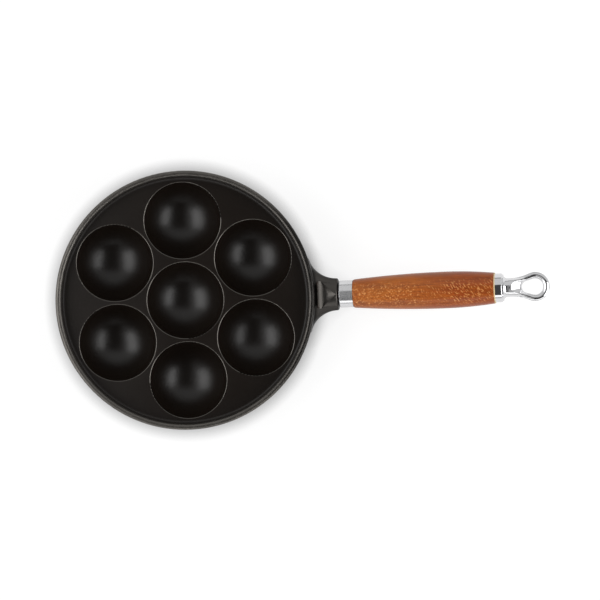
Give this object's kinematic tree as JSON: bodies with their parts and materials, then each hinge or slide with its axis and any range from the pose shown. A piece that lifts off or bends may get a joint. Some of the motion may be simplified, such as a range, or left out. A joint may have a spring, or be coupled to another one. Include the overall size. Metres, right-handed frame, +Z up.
{
  "type": "aebleskiver pan",
  "caption": "Round cast iron pan with hemispherical wells for ball pancakes, a raised rim, and a straight wooden handle that ends in a chromed hanging loop.",
  "frame": {"origin": "centre of the pan at the level of its foot, on the ground pad of the middle well", "axes": "+X along the handle, from the pan to the hanging loop; +Z up, out of the wells"},
  "size_m": [0.4004, 0.21, 0.052],
  "materials": {
    "black_enamel_iron": "satin black enamel over a fine cast texture",
    "polished_steel": "polished stainless steel",
    "varnished_beech": "red-brown stained beech, clear satin varnish",
    "zinc_plated_steel": "zinc plated, threaded at both ends",
    "chromed_zinc": "polished chrome plating on a zinc casting"
  },
  "bodies": {
    "root": {"pan_casting": "black_enamel_iron", "handle_ferrule": "polished_steel", "wooden_grip": "varnished_beech", "tie_rod": "zinc_plated_steel", "hanging_loop": "chromed_zinc"}
  },
  "joints": []
}
